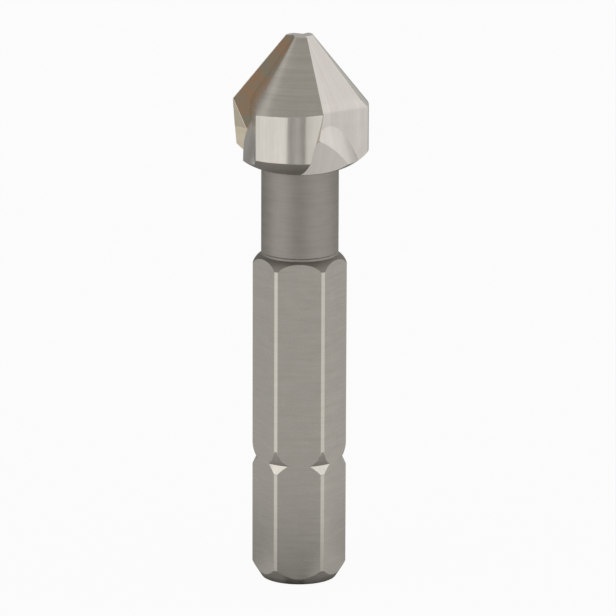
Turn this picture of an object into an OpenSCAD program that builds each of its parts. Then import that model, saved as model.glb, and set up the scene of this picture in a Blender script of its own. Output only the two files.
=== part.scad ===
// Three-flute countersink bit on a quarter-inch hex shank, in millimetres.
// The bit stands on its shank end at z = 0 and its tip points up +Z. The front is -Y.

/* [Cutting head] */
// Largest diameter that the head can sink
head_d = 10.4; // [8:0.1:14]
// Full angle of the cutting cone in degrees
point_angle = 78; // [70:1:100]
// Diameter of the flat at the tip
tip_d = 2.08; // [1.6:0.02:3]
// Length of the straight rim below the cone
rim_len = 3.7; // [3:0.1:6]
// Length of the rounded back between the rim and the neck
back_len = 1.35; // [1:0.05:2]
// Radius that the rounded back is turned to
back_round = 4.3; // [3.5:0.1:8]

/* [Flutes] */
// Number of flutes and of cutting edges
flute_count = 3; // [3:1:3]
// Where the first cutting edge of the cone lies, seen from the tip, in degrees from +X
edge_angle = -72; // [-90:1:30]
// Width of a land on the rim in degrees
land_angle = 58; // [45:1:70]
// Distance of a flute's flat wall from the axis on the rim, as a share of the head's radius
wall_share = 0.72; // [0.62:0.01:0.8]
// The same distance at the tip, as a share of the tip's radius
tip_share = 0.44; // [0.35:0.01:0.8]
// How far the cutting faces lie ahead of the centre line
rake_offset = 0.175; // [0:0.025:0.3]
// Lean of the cutting edges along the rim in degrees
rim_lean = 14.8; // [0:0.1:18]
// Angle across the cutting face of the line from which the facet along the rim leans back
facet_angle = 24; // [10:1:60]
// Radius that eases each flute's wall from the cone into the rim
wall_ease = 4; // [1:0.5:5]
// Diameter of the core where the flutes run out into the rounded back
foot_d = 9.2; // [8.4:0.1:10]
// Lean of that core in degrees
foot_lean = 17; // [10:1:30]

/* [Neck and shank] */
// Diameter of the round neck
neck_d = 5.9; // [4.5:0.05:6.2]
// Length of the neck
neck_len = 6.9; // [3:0.05:12]
// Width of the hex across its flats
hex_af = 6.35; // [6:0.05:7]
// Length of the hex with its end chamfer and its shoulder
hex_len = 25.4; // [18:0.05:40]
// How much of each sharp corner the rolled bar lacks, measured along the radius
corner_cut = 0.08; // [0.02:0.01:0.12]
// Length of the rounded shoulder between the hex and the neck
shoulder_len = 0.85; // [0.5:0.05:1.2]
// Radius of the shoulder's rounding
shoulder_round = 0.75; // [0.7:0.05:1.2]
// Diameter of the flat at the shank end
end_d = 5.6; // [4:0.05:6]
// Length of the chamfer at the shank end
end_len = 1.35; // [0.5:0.05:2]
// Height of the bottom of the corner notches
notch_z = 9.6; // [6:0.05:12]
// Depth of the notches below the corners
notch_depth = 0.31; // [0.1:0.01:0.36]
// Length of each notch's slope on the side of the tip
notch_rise = 1.25; // [0.5:0.05:2]
// Length of each notch's slope on the side of the shank end
notch_fall = 0.75; // [0.3:0.05:2]

/* [Hidden] */
$fn = 96;

head_r = head_d / 2;
tip_r = tip_d / 2;
neck_r = neck_d / 2;
corner_r = hex_af / 2 / cos(30) - corner_cut;

neck_top = hex_len + neck_len;
rim_z = neck_top + back_len;
cone_z = rim_z + rim_len;
cone_len = (head_r - tip_r) / tan(point_angle / 2);
tip_z = cone_z + cone_len;

// The wall stands upright along the rim and leans in with the cone above it
wall_r = wall_share * head_r;
wall_slope = (wall_r - tip_share * tip_r) / cone_len;
wall_turn = atan(wall_slope);
flute_pitch = 360 / flute_count;
wall_angle = flute_pitch - land_angle - acos(wall_share);
// The facet turns about its own line until its edge leans back along the rim as given
facet_turn = -atan(tan(rim_lean) / sin(facet_angle));
// Cutting bodies reach this far out, and this far past the ends of the head
reach = head_d;
spill = 0.5;

steel = [0.66, 0.65, 0.63];

// Centre of the circle of radius r through p and q that bulges to the right of the way from p to q
function arc_centre(p, q, r) =
    let (half = (q - p) / 2, rise = sqrt(r * r - half * half))
    (p + q) / 2 + rise / norm(half) * [-half[1], half[0]];

// The corner of a box that lies outside the round from p to q
module round_off(p, q, r) {
    low = [min(p[0], q[0]), min(p[1], q[1])];
    high = [max(p[0], q[0]), max(p[1], q[1])];
    difference() {
        translate(low) square(high - low);
        translate(arc_centre(p, q, r)) circle(r);
    }
}

// Half outline of the head and the neck before the flutes are ground
module blank_outline() {
    difference() {
        polygon([[0, hex_len - spill], [neck_r, hex_len - spill], [neck_r, neck_top], [head_r, neck_top],
                 [head_r, cone_z], [tip_r, tip_z], [0, tip_z]]);
        round_off([neck_r, neck_top], [head_r, rim_z], back_round);
    }
}

// Everything outside a flute's wall, as distance and height, with the turn at the rim eased
module wall_section() {
    top = tip_z + spill;
    centre = [wall_r - wall_ease, cone_z - wall_ease * tan(wall_turn / 2)];
    turn = [wall_r, cone_z];
    polygon([[wall_r, hex_len + spill], [reach, hex_len + spill], [reach, top],
             [wall_r - (top - cone_z) * wall_slope, top], turn]);
    difference() {
        polygon([centre, [wall_r, centre[1]], turn,
                 centre + wall_ease * [cos(wall_turn), sin(wall_turn)]]);
        translate(centre) circle(wall_ease);
    }
}

// Space ahead of a cutting face: an upright face, and a facet that leans back from it along the rim
module ahead_of_edge() {
    translate([-reach, rake_offset, hex_len + spill]) cube([2 * reach, reach, tip_z - hex_len]);
    translate([head_r, rake_offset, cone_z]) rotate([0, facet_angle, 0]) rotate([0, 0, facet_turn])
        translate([-reach, 0, -reach]) cube([2 * reach, reach, 2 * reach]);
}

// Space outside the flat wall that runs from the root of a flute out to the heel of the next land
module outside_wall() {
    rotate([0, 0, wall_angle]) rotate([90, 0, 0]) translate([0, 0, -reach])
        linear_extrude(2 * reach) wall_section();
}

// Core at the foot of the flutes, on which the grinding wheel runs out
module flute_foot() {
    foot_r = foot_d / 2;
    foot_z = neck_top + back_len / 2;
    rotate_extrude()
        polygon([[0, neck_top], [foot_r, neck_top], [foot_r, foot_z],
                 [foot_r - (cone_z - foot_z) * tan(foot_lean), cone_z], [0, cone_z]]);
}

module flute() {
    difference() {
        intersection() {
            outside_wall();
            ahead_of_edge();
        }
        flute_foot();
    }
}

module head_and_neck() {
    difference() {
        rotate_extrude() blank_outline();
        for (i = [0 : flute_count - 1])
            rotate([0, 0, edge_angle + i * flute_pitch]) flute();
    }
}

// Half outline that the hex bar is turned to: chamfered end, notched corners, rounded shoulder
module shank_outline() {
    shoulder_z = hex_len - shoulder_len;
    difference() {
        polygon([[0, 0], [end_d / 2, 0], [corner_r, end_len],
                 [corner_r, notch_z - notch_fall], [corner_r - notch_depth, notch_z],
                 [corner_r, notch_z + notch_rise], [corner_r, hex_len], [0, hex_len]]);
        round_off([corner_r, shoulder_z], [neck_r, hex_len], shoulder_round);
    }
}

module hex_shank() {
    intersection() {
        cylinder(r = hex_af / 2 / cos(30), h = hex_len, $fn = 6);
        rotate_extrude() shank_outline();
    }
}

module countersink_bit() {
    color(steel) union() {
        hex_shank();
        head_and_neck();
    }
}

countersink_bit();
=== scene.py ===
import math
import bpy
from mathutils import Matrix, Vector


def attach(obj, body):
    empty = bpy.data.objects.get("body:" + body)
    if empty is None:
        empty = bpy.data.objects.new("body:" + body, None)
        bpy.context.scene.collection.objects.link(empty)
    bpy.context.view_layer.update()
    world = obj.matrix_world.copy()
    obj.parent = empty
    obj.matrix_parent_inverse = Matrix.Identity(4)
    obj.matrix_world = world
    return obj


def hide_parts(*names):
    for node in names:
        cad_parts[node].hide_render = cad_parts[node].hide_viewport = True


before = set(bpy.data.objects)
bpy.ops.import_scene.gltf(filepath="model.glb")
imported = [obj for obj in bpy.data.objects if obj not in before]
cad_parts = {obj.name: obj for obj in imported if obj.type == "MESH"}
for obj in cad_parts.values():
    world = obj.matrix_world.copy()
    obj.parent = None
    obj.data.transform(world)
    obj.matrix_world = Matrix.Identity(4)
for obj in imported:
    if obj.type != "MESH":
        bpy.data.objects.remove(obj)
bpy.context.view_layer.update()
MM = 0.001


# The turned bar
# The whole bit is one bar of high-speed steel. It is turned to a chamfered end, a rounded shoulder with a
# fine groove above it, a neck, a rounded back, a straight rim and a cone. Sizes are in millimetres.
FACETS = 144
ARC_STEPS = 8

HEX_FLATS = 6.35
HEX_TOP = 25.4
HEX_POINT_R = HEX_FLATS / 2 / math.cos(math.radians(30))
CORNER_CUT = 0.08
CORNER_R = HEX_POINT_R - CORNER_CUT
END_R = 5.72 / 2
END_TOP = 1.13
NOTCH_Z = 9.5
NOTCH_DEPTH = 0.31
NOTCH_R = CORNER_R - NOTCH_DEPTH
NOTCH_FALL = 0.65
NOTCH_RISE = 1.3
NOTCH_ROUND = 2.4
SHOULDER_Z = HEX_TOP - 0.6
SHOULDER_TOP = HEX_TOP + 0.15
SHOULDER_ROUND = 1.4
NECK_R = 5.9 / 2
GROOVE_Z = HEX_TOP + 0.33
GROOVE = 0.05
NECK_TOP = HEX_TOP + 6.9
HEAD_R = 10.4 / 2
RIM_Z = NECK_TOP + 1.35
BACK_ROUND = 4.3
CONE_Z = RIM_Z + 3.78
CONE_ANGLE = 77.4
CONE_SLOPE = math.tan(math.radians(CONE_ANGLE / 2))
TIP_R = 2.3 / 2
TIP_Z = CONE_Z + (HEAD_R - TIP_R) / CONE_SLOPE


def arc(start, end, radius):
    """Points from start to end, both (radius, height), on a circle that bulges away from the axis."""
    a, b = Vector(start), Vector(end)
    half = (b - a) / 2
    inwards = Vector((-half.y, half.x)).normalized()
    centre = (a + b) / 2 + inwards * math.sqrt(radius ** 2 - half.length ** 2)
    turn = (b - centre).angle_signed(a - centre)
    first = math.atan2(a.y - centre.y, a.x - centre.x)
    points = []
    for step in range(1, ARC_STEPS + 1):
        angle = first + turn * step / ARC_STEPS
        points.append((centre.x + radius * math.cos(angle), centre.y + radius * math.sin(angle)))
    return points


def select(piece, kind, test):
    """Goes into edit mode with only those faces or vertices of piece selected for which test is true."""
    bpy.ops.object.mode_set(mode="EDIT")
    bpy.ops.mesh.select_mode(type=kind)
    bpy.ops.mesh.select_all(action="DESELECT")
    bpy.ops.object.mode_set(mode="OBJECT")
    for element in piece.data.polygons if kind == "FACE" else piece.data.vertices:
        element.select = test(element)
    bpy.ops.object.mode_set(mode="EDIT")


def looks_up(face):
    """Whether a face looks up along the bit."""
    return face.normal.z > 0.9


def new_piece(name):
    """Names the primitive that was just added and puts its place into its mesh."""
    piece = bpy.context.object
    piece.name = name
    bpy.ops.object.transform_apply(location=True, rotation=True, scale=True)
    return piece


outline = [(END_R, 0), (CORNER_R, END_TOP), (CORNER_R, NOTCH_Z - NOTCH_FALL), (NOTCH_R, NOTCH_Z)]
outline += arc((NOTCH_R, NOTCH_Z), (CORNER_R, NOTCH_Z + NOTCH_RISE), NOTCH_ROUND)
outline += [(CORNER_R, SHOULDER_Z)]
outline += arc((CORNER_R, SHOULDER_Z), (NECK_R, SHOULDER_TOP), SHOULDER_ROUND)
outline += [(NECK_R, GROOVE_Z - GROOVE), (NECK_R - GROOVE, GROOVE_Z), (NECK_R, GROOVE_Z + GROOVE)]
outline += [(NECK_R, NECK_TOP)]
outline += arc((NECK_R, NECK_TOP), (HEAD_R, RIM_Z), BACK_ROUND)
outline += [(HEAD_R, CONE_Z), (TIP_R, TIP_Z)]

bpy.ops.object.select_all(action="DESELECT")
first_r, first_z = outline[0]
next_r, next_z = outline[1]
bpy.ops.mesh.primitive_cylinder_add(vertices=FACETS, radius=first_r * MM, depth=next_z * MM,
                                    location=(0, 0, next_z / 2 * MM))
bit = new_piece("ground_bit")
select(bit, "FACE", looks_up)
bpy.ops.transform.resize(value=(next_r / first_r, next_r / first_r, 1), center_override=(0, 0, 0))
for (r, z), (next_r, next_z) in zip(outline[1:], outline[2:]):
    bpy.ops.mesh.extrude_region_move(TRANSFORM_OT_translate={"value": (0, 0, (next_z - z) * MM)})
    bpy.ops.transform.resize(value=(next_r / r, next_r / r, 1), center_override=(0, 0, 0))
bpy.ops.object.mode_set(mode="OBJECT")


# The hex
# The shank is drawn as a hex bar, and the turned outline only cuts its corners. The tool that leaves
# the hex behind is wider above the shoulder, so that it doesn't touch the neck or the head.
FLAT_IN_FRONT = math.radians(30)
CLEAR = 2.0
ROOM_WIDTH = 3
ROOM_LENGTH = 20


def combine(piece, tool, operation):
    """Joins, cuts or keeps what piece shares with tool, and deletes the tool."""
    boolean = piece.modifiers.new("combine", "BOOLEAN")
    boolean.operation = operation
    boolean.solver = "EXACT"
    boolean.object = tool
    bpy.ops.object.select_all(action="DESELECT")
    piece.select_set(True)
    bpy.context.view_layer.objects.active = piece
    bpy.ops.object.modifier_apply(modifier=boolean.name)
    bpy.data.objects.remove(tool)


bpy.ops.object.select_all(action="DESELECT")
hex_low, hex_high = -CLEAR, HEX_TOP + CLEAR
bpy.ops.mesh.primitive_cylinder_add(vertices=6, radius=HEX_POINT_R * MM, depth=(hex_high - hex_low) * MM,
                                    rotation=(0, 0, FLAT_IN_FRONT),
                                    location=(0, 0, (hex_high + hex_low) / 2 * MM))
hex_bar = new_piece("hex_bar")
select(hex_bar, "FACE", looks_up)
bpy.ops.mesh.extrude_region_move(TRANSFORM_OT_translate={"value": (0, 0, 0)})
bpy.ops.transform.resize(value=(ROOM_WIDTH, ROOM_WIDTH, 1), center_override=(0, 0, 0))
bpy.ops.mesh.extrude_region_move(TRANSFORM_OT_translate={"value": (0, 0, ROOM_LENGTH * MM)})
bpy.ops.object.mode_set(mode="OBJECT")
combine(bit, hex_bar, "INTERSECT")


# The flutes
# A grinding wheel opens three flutes in the head. Each has a flat wall that leans in along the cone, up to
# a cutting face that leans back along the rim. A second grind relieves the cone behind each cutting edge.
FLUTES = 3
# Where the first cutting edge lies, and how wide a land is, in degrees from +X towards +Y
EDGE_ANGLE = -72
LAND_ANGLE = 58
# How far the wall is from the axis, as a share of the head's radius at the rim and of the tip's at the tip
WALL_SHARE = 0.72
TIP_SHARE = 0.44
WALL_R = WALL_SHARE * HEAD_R
WALL_SLOPE = (WALL_R - TIP_SHARE * TIP_R) / (TIP_Z - CONE_Z)
WALL_TURN = math.atan(WALL_SLOPE)
WALL_ANGLE = 360 / FLUTES - LAND_ANGLE - math.degrees(math.acos(WALL_SHARE))
WALL_EASE = 1.5
# The cutting face is ahead of the centre line, and a facet on it takes the edge back along the rim
RAKE_OFFSET = 0.175
RIM_LEAN = math.radians(14.8)
FACET_ANGLE = math.radians(24)
FACET_TURN = -math.atan(math.tan(RIM_LEAN) / math.sin(FACET_ANGLE))
# The core on which the wheel runs out
FOOT_R = 9.4 / 2
FOOT_Z = (NECK_TOP + RIM_Z) / 2
FOOT_LEAN = math.radians(17)
# Each flute ends in a hook: a facet that leans out from the neck, and an undercut into the land, below the
# end of the cutting edge. The turns about the axis are in degrees
HOOK_TOP = NECK_TOP + 2.8
HOOK_R = NECK_R + 0.02
HOOK_PLACE = -18
HOOK_TURN = -12
HOOK_LEAN = math.radians(19)
UNDERCUT_TURN = -4.75
UNDERCUT_LEAN = math.radians(-14.13)
# How deep the relief is at the cutting edge, and how much deeper at the heel. It stays RELIEF_INNER away
# from the axis, so that it leaves the other lands alone at the tip
RELIEF_START = 0.05
RELIEF = 0.2
RELIEF_INNER = 0.45
RELIEF_LOW = CONE_Z - 0.6
# How far the grinding tools reach, and how near to its place a corner of theirs is looked for
TOOL_LOW = HEX_TOP + 0.5
TOOL_HIGH = TIP_Z + 0.5
TOOL_REACH = 2 * HEAD_R
TOOL_SPILL = 1
NEAR = 0.1


def turn_about_axis(degrees):
    """The turn about the bit's axis, from +X towards +Y."""
    return Matrix.Rotation(math.radians(degrees), 4, "Z")


def block(name, low, high):
    """A box between two corners."""
    bpy.ops.object.select_all(action="DESELECT")
    middle = (Vector(low) + Vector(high)) / 2 * MM
    bpy.ops.mesh.primitive_cube_add(size=1, location=middle, scale=(Vector(high) - Vector(low)) * MM)
    return new_piece(name)


def flute_wall():
    """What lies outside a flute's flat wall, which leans in along the cone and is eased into the rim."""
    wall = block("flute_wall", (WALL_R, -TOOL_REACH, TOOL_LOW), (TOOL_REACH, TOOL_REACH, TOOL_HIGH))
    bpy.ops.object.mode_set(mode="EDIT")
    bpy.ops.mesh.select_all(action="SELECT")
    bpy.ops.mesh.bisect(plane_co=(0, 0, CONE_Z * MM), plane_no=(0, 0, 1))
    bpy.ops.object.mode_set(mode="OBJECT")
    select(wall, "VERT", lambda v: v.co.x < (WALL_R + NEAR) * MM and v.co.z > (TOOL_HIGH - NEAR) * MM)
    bpy.ops.transform.translate(value=(-(TOOL_HIGH - CONE_Z) * WALL_SLOPE * MM, 0, 0))
    bpy.ops.object.mode_set(mode="OBJECT")
    select(wall, "VERT", lambda v: v.co.x < (WALL_R + NEAR) * MM and abs(v.co.z - CONE_Z * MM) < NEAR * MM)
    bpy.ops.mesh.bevel(offset=WALL_EASE * math.tan(WALL_TURN / 2) * MM, segments=ARC_STEPS, profile=0.5,
                       affect="EDGES")
    bpy.ops.object.mode_set(mode="OBJECT")
    wall.data.transform(turn_about_axis(WALL_ANGLE))
    return wall


def ahead_of_edge():
    """The space ahead of a cutting face and of the facet that leans back from it along the rim."""
    edge = block("cutting_face", (-TOOL_REACH, RAKE_OFFSET, TOOL_LOW), (TOOL_REACH, TOOL_REACH, TOOL_HIGH))
    facet = block("facet", (-TOOL_REACH, 0, -TOOL_REACH), (TOOL_REACH, TOOL_REACH, TOOL_REACH))
    corner = Matrix.Translation(Vector((HEAD_R, RAKE_OFFSET, CONE_Z)) * MM)
    facet.data.transform(corner @ Matrix.Rotation(FACET_ANGLE, 4, "Y") @ Matrix.Rotation(FACET_TURN, 4, "Z"))
    combine(edge, facet, "UNION")
    return edge


def flute_hook():
    """What the hook at a flute's foot takes away, from the neck's top to the hook's."""
    hook = block("hook", (0, -TOOL_REACH, -TOOL_REACH), (TOOL_REACH, TOOL_REACH, TOOL_REACH))
    start = turn_about_axis(HOOK_PLACE) @ Vector((HOOK_R, 0, NECK_TOP)) * MM
    hook.data.transform(Matrix.Translation(start) @ turn_about_axis(HOOK_TURN)
                        @ Matrix.Rotation(HOOK_LEAN, 4, "Y"))
    undercut = block("undercut", (-TOOL_REACH, 0, -TOOL_REACH), (TOOL_REACH, TOOL_REACH, TOOL_REACH))
    edge_end = Vector((HEAD_R, RAKE_OFFSET - math.tan(RIM_LEAN) * (CONE_Z - RIM_Z), RIM_Z)) * MM
    undercut.data.transform(Matrix.Translation(edge_end) @ turn_about_axis(UNDERCUT_TURN)
                            @ Matrix.Rotation(UNDERCUT_LEAN, 4, "X"))
    combine(hook, undercut, "INTERSECT")
    reach = block("hook_reach", (-TOOL_REACH, -TOOL_REACH, NECK_TOP), (TOOL_REACH, TOOL_REACH, HOOK_TOP))
    combine(hook, reach, "INTERSECT")
    return hook


def flute_foot():
    """The leaning core on which the grinding wheel runs out at the foot of the head."""
    bpy.ops.object.select_all(action="DESELECT")
    depth = CONE_Z - NECK_TOP
    top_r = FOOT_R - (CONE_Z - FOOT_Z) * math.tan(FOOT_LEAN)
    bpy.ops.mesh.primitive_cone_add(vertices=FACETS, radius1=(top_r + depth * math.tan(FOOT_LEAN)) * MM,
                                    radius2=top_r * MM, depth=depth * MM,
                                    location=(0, 0, (CONE_Z + NECK_TOP) / 2 * MM))
    return new_piece("flute_foot")


def flute_tool(turn):
    """What one flute takes away, turned about the axis."""
    wall, edge, hook = flute_wall(), ahead_of_edge(), flute_hook()
    combine(wall, flute_foot(), "DIFFERENCE")
    combine(wall, edge, "INTERSECT")
    combine(wall, hook, "UNION")
    wall.data.transform(turn_about_axis(turn))
    return wall


def relief_tool(turn):
    """What the relief takes off the cone of one land, outside a cone whose axis is nearer to the edge."""
    middle = turn - LAND_ANGLE / 2
    spare = block("relief_grind", (RELIEF_INNER, -TOOL_REACH, RELIEF_LOW),
                  (TOOL_REACH, TOOL_REACH, TOOL_HIGH))
    spare.data.transform(turn_about_axis(middle))
    offset = RELIEF / (2 * math.sin(math.radians(LAND_ANGLE / 2)))
    sideways = math.radians(middle + 90)
    low, high = CONE_Z - TOOL_SPILL, TIP_Z + TOOL_SPILL
    low_r = HEAD_R - RELIEF / 2 - RELIEF_START + (CONE_Z - low) * CONE_SLOPE
    high_r = low_r - (high - low) * CONE_SLOPE
    centre = (offset * math.cos(sideways) * MM, offset * math.sin(sideways) * MM, (high + low) / 2 * MM)
    bpy.ops.object.select_all(action="DESELECT")
    bpy.ops.mesh.primitive_cone_add(vertices=FACETS, radius1=low_r * MM, radius2=high_r * MM,
                                    depth=(high - low) * MM, location=centre)
    combine(spare, new_piece("relieved_cone"), "DIFFERENCE")
    return spare


for tool in (flute_tool, relief_tool):
    for i in range(FLUTES):
        combine(bit, tool(EDGE_ANGLE + i * 360 / FLUTES), "DIFFERENCE")


# The edges
# Grinding leaves crisp edges, but none is a perfect line: each outer one is broken by two or three
# hundredths of a millimetre and catches the light. The flat faces keep their own normals.
EDGE_BREAK = 0.025
# Corners closer than this are one, and faces that meet at less than this are one face
MERGE = 0.004
FLAT = math.radians(0.05)
SHARP = math.radians(17)
# The cuts leave the mesh's points in another order each time, and what follows depends on it. Sorted by
# their distance from a place beside the bit, they give the same mesh in each run
SORT_PLACE = Vector((20, 13, 70)) * MM

bpy.ops.object.select_all(action="DESELECT")
bit.select_set(True)
bpy.context.view_layer.objects.active = bit
bpy.context.scene.cursor.location = SORT_PLACE
bpy.ops.object.mode_set(mode="EDIT")
bpy.ops.mesh.select_all(action="SELECT")
bpy.ops.mesh.sort_elements(type="CURSOR_DISTANCE", elements={"VERT", "EDGE", "FACE"})
bpy.context.scene.cursor.location = (0, 0, 0)
bpy.ops.mesh.remove_doubles(threshold=MERGE * MM)
bpy.ops.mesh.dissolve_limited(angle_limit=FLAT)
bpy.ops.object.mode_set(mode="OBJECT")
bpy.ops.object.shade_smooth_by_angle(angle=SHARP)

# For the two faces on an edge, sides holds their directions and the ways in which their corners run along
# it. The cross product of the directions points the first face's way only on an outer edge.
sides = {}
for face in bit.data.polygons:
    corners = list(face.vertices)
    for first, second in zip(corners, corners[1:] + corners[:1]):
        way = bit.data.vertices[second].co - bit.data.vertices[first].co
        sides.setdefault((min(first, second), max(first, second)), []).append((face.normal.copy(), way))
weights = bit.data.attributes.new("bevel_weight_edge", "FLOAT", "EDGE").data
for edge, weight in zip(bit.data.edges, weights):
    (normal, way), (other_normal, _) = sides[edge.key]
    outer = normal.cross(other_normal).dot(way) > 0
    weight.value = 1 if outer and normal.angle(other_normal) > SHARP else 0
edges = bit.modifiers.new("edges", "BEVEL")
edges.width = EDGE_BREAK * MM
edges.segments = 2
edges.limit_method = "WEIGHT"
edges.use_clamp_overlap = False
edges.harden_normals = True
bpy.ops.object.modifier_apply(modifier=edges.name)
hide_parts("countersink_bit")
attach(bit, "root")


# The finishes
# All of the bit is the same bright high-speed steel. The zones differ by their tool marks, and some by
# painted shade and painted reflection.
# Each zone's faces are found by their height and by the way they face.
PATCHES_PER_MM = 0.9
# The part of the noise's range that the colours and the roughness run over
NOISE_LOW, NOISE_HIGH = 0.3, 0.7


def steel_colour(code):
    """The linear colour of an sRGB hex code."""
    channels = [int(code[i:i + 2], 16) / 255 for i in (0, 2, 4)]
    return [c / 12.92 if c <= 0.04045 else ((c + 0.055) / 1.055) ** 2.4 for c in channels] + [1]


def add_node(tree, kind, settings={}, links={}):
    """Adds a node, sets its properties and its sockets' values, and links its sockets."""
    node = tree.nodes.new(kind)
    for key, value in settings.items():
        if isinstance(key, str) and hasattr(node, key):
            setattr(node, key, value)
        else:
            node.inputs[key].default_value = value
    for key, source in links.items():
        tree.links.new(node.inputs[key], source)
    return node


def steel_finish(name, dark, light, lines, rough, depth, patches=0.35, fan=False):
    """A bright steel whose tool marks run where lines, in marks per millimetre along X, Y and Z, is low.

    rough holds the least and the most roughness, depth is the marks' depth in millimetres, and patches is
    the share of soft patches among the marks. With fan the marks run out from the bit's axis.
    """
    steel = bpy.data.materials.new(name)
    steel.use_nodes = True
    tree = steel.node_tree
    shader = tree.nodes["Principled BSDF"]
    shader.inputs["Metallic"].default_value = 1
    place = add_node(tree, "ShaderNodeTexCoord").outputs["Object"]
    in_mm = add_node(tree, "ShaderNodeMapping", {"Scale": (1000, 1000, 1000)}, {"Vector": place})
    along = in_mm.outputs[0]
    if fan:
        flat = add_node(tree, "ShaderNodeVectorMath", {"operation": "MULTIPLY", 1: (1, 1, 0)}, {0: along})
        spoke = add_node(tree, "ShaderNodeVectorMath", {"operation": "NORMALIZE"}, {0: flat.outputs[0]})
        height = add_node(tree, "ShaderNodeVectorMath", {"operation": "MULTIPLY", 1: (0, 0, 1)}, {0: along})
        along = add_node(tree, "ShaderNodeVectorMath", {"operation": "ADD"},
                         {0: spoke.outputs[0], 1: height.outputs[0]}).outputs[0]
    stretched = add_node(tree, "ShaderNodeVectorMath", {"operation": "MULTIPLY", 1: lines}, {0: along})
    marks = add_node(tree, "ShaderNodeTexNoise", {"Scale": 1, "Detail": 2, "Roughness": 0.6},
                     {"Vector": stretched.outputs[0]})
    cloud = add_node(tree, "ShaderNodeTexNoise", {"Scale": PATCHES_PER_MM, "Detail": 3},
                     {"Vector": in_mm.outputs[0]})
    both = add_node(tree, "ShaderNodeMix", {"data_type": "FLOAT", 0: patches},
                    {2: marks.outputs[0], 3: cloud.outputs[0]})
    tone = add_node(tree, "ShaderNodeValToRGB", {}, {0: both.outputs[0]})
    for point, level, code in zip(tone.color_ramp.elements, (NOISE_LOW, NOISE_HIGH), (dark, light)):
        point.position = level
        point.color = steel_colour(code)
    gloss = add_node(tree, "ShaderNodeMapRange", {1: NOISE_LOW, 2: NOISE_HIGH, 3: rough[0], 4: rough[1]},
                     {0: both.outputs[0]})
    relief = add_node(tree, "ShaderNodeBump", {"Strength": 1, "Distance": depth * MM},
                      {"Height": marks.outputs[0]})
    tree.links.new(shader.inputs["Base Color"], tone.outputs[0])
    tree.links.new(shader.inputs["Roughness"], gloss.outputs[0])
    tree.links.new(shader.inputs["Normal"], relief.outputs[0])
    return steel


# Cold-drawn bar that was passed over a belt: satin, with faint lines across the flats. Real belt lines
# are 0.05 mm apart. They are drawn 0.3 mm apart, the finest that shows.
drawn_hex_steel = steel_finish("belt_ground_drawn_steel", "cac6bd", "d3cfc6", (0.3, 0.3, 3.3), (0.24, 0.3),
                               0.001)
# Turned: duller than ground steel, with feed marks round it 0.1 mm apart, drawn 0.25 mm apart. Its darker
# # colour is partly painted shade, for the dark back under the head.
turned_steel_with_painted_shade = steel_finish("fine_turned_steel_painted_shade", "9f9b94", "b2ada6", (0.4, 0.4, 4), (0.5, 0.62), 0.002)
# The shoulder keeps the deeper marks of the form tool, drawn 0.2 mm apart, and looks darker.
formed_steel = steel_finish("form_turned_steel", "807c76", "938e88", (0.5, 0.5, 5), (0.42, 0.55), 0.003)
# The cone is ground round the bit, and is satin. Real grinding lines are a few hundredths of a millimetre
# apart. They are drawn 0.2 mm apart.
ground_cone_steel = steel_finish("round_ground_steel", "c8c4bb", "d8d3ca", (0.15, 0.15, 5), (0.16, 0.22),
                                 0.0015)
# The rim is ground finer, and mirrors the room in sharp upright bands. Its faint marks are drawn 0.25 mm
# apart.
polished_rim_steel = steel_finish("fine_ground_steel", "cfcac1", "dbd7d0", (4, 4, 0.3), (0.09, 0.14), 0.0005)
# The flutes are ground along their length. Their marks fan out from the axis, and are drawn about 0.4 mm
# apart at the rim.
ground_flute_steel = steel_finish("flute_ground_steel", "cbc6c0", "dad6d1", (9, 9, 0.12), (0.2, 0.28), 0.002,
                                  fan=True)
# The cutting faces are painted brown in patches of about a millimetre, as painted reflection and painted
# shade, and the facets beside them a pale straw tint.
brown_reflection_and_shade_steel = steel_finish("ground_steel_painted_brown_reflection_and_shade", "9a7558", "838578", (1.2, 1.2, 0.8), (0.24, 0.34),
                            0.002, patches=0.7)
straw_steel = steel_finish("straw_tinted_ground_steel", "bdb39f", "c9c0ae", (0.3, 3, 3), (0.22, 0.3), 0.002)
FINISHES = [drawn_hex_steel, turned_steel_with_painted_shade, formed_steel, ground_cone_steel, polished_rim_steel,
            ground_flute_steel, brown_reflection_and_shade_steel, straw_steel]

AHEAD = Vector((0, 1, 0))
FACET_WAY = Matrix.Rotation(FACET_ANGLE, 4, "Y") @ Matrix.Rotation(FACET_TURN, 4, "Z") @ AHEAD
UNDERCUT_WAY = turn_about_axis(UNDERCUT_TURN) @ Matrix.Rotation(UNDERCUT_LEAN, 4, "X") @ AHEAD
CONE_UP = math.cos(math.atan(1 / CONE_SLOPE))
# How far past the end of a zone the middle of a face may be, in millimetres
SLACK = 0.05
NECK_SLACK = 0.02
RIM_SLACK = 0.1
# The upward share of a face's direction: the most on an upright face and on the back, and the cone's spread
UPRIGHT = 0.05
BACK_UP = -0.5
CONE_SPREAD = 0.04
# How far a face may turn from the direction of its zone, in radians
RIM_SPREAD = math.radians(4)
EDGE_SPREAD = math.radians(8)
FACET_SPREAD = 0.12


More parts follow.
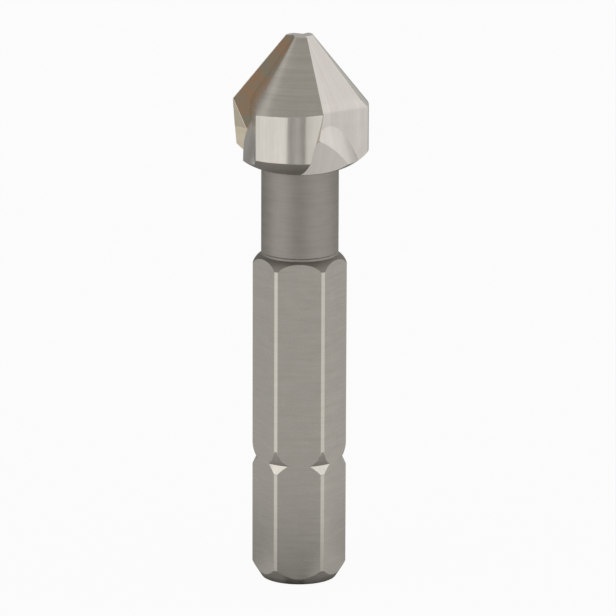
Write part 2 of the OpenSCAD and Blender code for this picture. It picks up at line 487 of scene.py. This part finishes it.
def finish_of(face):
    """The finish of a face of the bit, by its height in millimetres and its direction."""
    z, up = face.center.z / MM, face.normal.z
    if z < SHOULDER_Z + SLACK:
        if abs(up) <= UPRIGHT:
            return drawn_hex_steel
        if NOTCH_Z - NOTCH_FALL < z < NOTCH_Z + NOTCH_RISE and up > 0:
            return polished_rim_steel
        return formed_steel if up > 0 else turned_steel_with_painted_shade
    if z < SHOULDER_TOP and up > UPRIGHT:
        return formed_steel
    # The back under the head gets the darker turned steel, partly as painted shade
    if z < NECK_TOP + NECK_SLACK or z < RIM_Z + SLACK and up < BACK_UP:
        return turned_steel_with_painted_shade
    if abs(up - CONE_UP) < CONE_SPREAD:
        return ground_cone_steel
    outwards = Vector((face.center.x, face.center.y, 0))
    if outwards.length > (HEAD_R - RIM_SLACK) * MM and face.normal.angle(outwards) < RIM_SPREAD:
        return polished_rim_steel
    for i in range(FLUTES):
        turn = turn_about_axis(EDGE_ANGLE + i * 360 / FLUTES)
        # A cutting face gets the brown of painted reflection and painted shade
        if face.normal.angle(turn @ AHEAD) < EDGE_SPREAD:
            return brown_reflection_and_shade_steel
        if min(face.normal.angle(turn @ FACET_WAY), face.normal.angle(turn @ UNDERCUT_WAY)) < FACET_SPREAD:
            return straw_steel
    return ground_flute_steel


bit.data.materials.clear()
for finish in FINISHES:
    bit.data.materials.append(finish)
for face in bit.data.polygons:
    face.material_index = FINISHES.index(finish_of(face))


# The stage
# The bit stands on a pale floor between two bright walls of white cloth. In front of it, behind it and
# above it the room is darker, and the bare steel mirrors both as light and grey bands.
# The floor's size in metres
FLOOR_SIZE = 4
# Painted light and shade that the steel mirrors in the floor, by degrees to the right of the front
PAINTED_FLOOR_BANDS = [(-180, 0.34), (-150, 0.36), (-125, 0.48), (-108, 0.52), (-90, 0.8), (-70, 0.95), (-24, 0.98),
               (-19, 0.45), (-12, 0.44), (-7, 0.54), (-2, 0.54), (3, 0.42), (7, 0.42), (11, 0.77),
               (21, 0.83), (31, 0.93), (70, 0.87), (100, 0.85), (115, 0.5), (150, 0.45), (180, 0.34)]
WALL_BANDS = [(-180, 0.5), (-130, 0.36), (-105, 0.3), (-88, 0.93), (-70, 1.15), (-40, 1.1), (-22, 0.48),
              (10, 0.46), (20, 0.8), (45, 1.02), (90, 1.02), (130, 0.7), (180, 0.5)]
CLOTH_TINT = (1, 0.99, 0.975)
# A painted shadow darkens the floor's reflection near the bit, by shares of this distance in metres
NEAR_FLOOR = 0.03
PAINTED_SHADOW_BANDS = [(0.095, 0.12), (0.118, 0.5), (0.2, 0.58), (1, 1)]
# How white the floor looks. The rest of it is paint that takes the bit's shadow
FLOOR_WHITE = 0.94
# Where the walls end, by the upward share of a direction, and the light above them
WALL_END = (0.66, 0.78)
LIGHT_ABOVE = (0.44, 0.43, 0.41, 1)


def tent_light(tree, direction, bands):
    """Brightness by the direction's turn about the vertical, from bands of (degrees to the right, value)."""
    parts = add_node(tree, "ShaderNodeSeparateXYZ", {}, {0: direction}).outputs
    front = add_node(tree, "ShaderNodeMath", {"operation": "MULTIPLY", 1: -1}, {0: parts["Y"]})
    turn = add_node(tree, "ShaderNodeMath", {"operation": "ARCTAN2"}, {0: parts["X"], 1: front.outputs[0]})
    share = add_node(tree, "ShaderNodeMapRange", {1: -math.pi, 2: math.pi}, {0: turn.outputs[0]})
    ramp = add_node(tree, "ShaderNodeValToRGB", {}, {0: share.outputs[0]})
    points = ramp.color_ramp.elements
    while len(points) < len(bands):
        points.new(0.5)
    for point, (degrees, value) in zip(points, bands):
        point.position = degrees / 360 + 0.5
        point.color = [value * tint for tint in CLOTH_TINT] + [1]
    return ramp.outputs[0]


bpy.ops.object.select_all(action="DESELECT")
bpy.ops.mesh.primitive_plane_add(size=FLOOR_SIZE, location=(0, 0, 0))
floor = bpy.context.object
floor.name = "floor"
pale = bpy.data.materials.new("pale_floor")
pale.use_nodes = True
tree = pale.node_tree
tree.nodes.clear()
rays = add_node(tree, "ShaderNodeLightPath").outputs
spot = add_node(tree, "ShaderNodeTexCoord").outputs["Object"]
bands = tent_light(tree, spot, PAINTED_FLOOR_BANDS)
reach = add_node(tree, "ShaderNodeVectorMath", {"operation": "LENGTH"}, {0: spot})
share = add_node(tree, "ShaderNodeMath", {"operation": "DIVIDE", 1: NEAR_FLOOR}, {0: reach.outputs["Value"]})
near = add_node(tree, "ShaderNodeValToRGB", {}, {0: share.outputs[0]})
points = near.color_ramp.elements
while len(points) < len(PAINTED_SHADOW_BANDS):
    points.new(0.5)
for point, (place, value) in zip(points, PAINTED_SHADOW_BANDS):
    point.position = place
    point.color = (value, value, value, 1)
# For glossy rays the floor glows with painted light and shade: the bands, darkened near the bit by a painted
# shadow
mirrored = add_node(tree, "ShaderNodeEmission", {}, {"Color": bands, "Strength": near.outputs[0]})
white = add_node(tree, "ShaderNodeEmission", {"Color": (1, 1, 1, 1), "Strength": 1.0})
paint = add_node(tree, "ShaderNodeBsdfDiffuse", {"Color": (0.8, 0.8, 0.8, 1)})
seen_share = add_node(tree, "ShaderNodeMath", {"operation": "MULTIPLY", 1: FLOOR_WHITE},
                      {0: rays["Is Camera Ray"]})
seen = add_node(tree, "ShaderNodeMixShader", {}, {0: seen_share.outputs[0], 1: paint.outputs[0],
                                                  2: white.outputs[0]})
glossy = add_node(tree, "ShaderNodeMath", {"operation": "MAXIMUM"},
                  {0: rays["Is Glossy Ray"], 1: rays["Is Transmission Ray"]})
mix = add_node(tree, "ShaderNodeMixShader", {}, {0: glossy.outputs[0], 1: seen.outputs[0],
                                                 2: mirrored.outputs[0]})
add_node(tree, "ShaderNodeOutputMaterial", {}, {"Surface": mix.outputs[0]})
floor.data.materials.append(pale)

world = bpy.data.worlds.new("studio")
bpy.context.scene.world = world
world.use_nodes = True
tree = world.node_tree
background = tree.nodes["Background"]
way = add_node(tree, "ShaderNodeTexCoord").outputs["Generated"]
bands = tent_light(tree, way, WALL_BANDS)
height = add_node(tree, "ShaderNodeSeparateXYZ", {}, {0: way}).outputs["Z"]
above = add_node(tree, "ShaderNodeMapRange", {1: WALL_END[0], 2: WALL_END[1]}, {0: height})
tent = add_node(tree, "ShaderNodeMix", {"data_type": "RGBA", 7: LIGHT_ABOVE},
                {0: above.outputs[0], 6: bands})
rays = add_node(tree, "ShaderNodeLightPath").outputs
sky = add_node(tree, "ShaderNodeMix", {"data_type": "RGBA", 7: (1, 1, 1, 1)},
               {0: rays["Is Camera Ray"], 6: tent.outputs[2]})
tree.links.new(background.inputs["Color"], sky.outputs[2])

# The camera looks down on the middle of the bit. FIELD is the width that it sees there, in metres
TARGET = Vector((0.00064, 0, 0.0212))
ELEVATION = math.radians(14.5)
DISTANCE = 0.45
FIELD = 0.04704
ROLL = math.radians(0.2)
camera_data = bpy.data.cameras.new("camera")
camera = bpy.data.objects.new("camera", camera_data)
bpy.context.scene.collection.objects.link(camera)
camera.location = TARGET + DISTANCE * Vector((0, -math.cos(ELEVATION), math.sin(ELEVATION)))
camera.rotation_euler = (TARGET - camera.location).to_track_quat("-Z", "Y").to_euler()
camera.rotation_euler.rotate_axis("Z", ROLL)
camera_data.angle = 2 * math.atan(FIELD / 2 / DISTANCE)
bpy.context.scene.camera = camera
bpy.context.scene.view_settings.view_transform = "Standard"
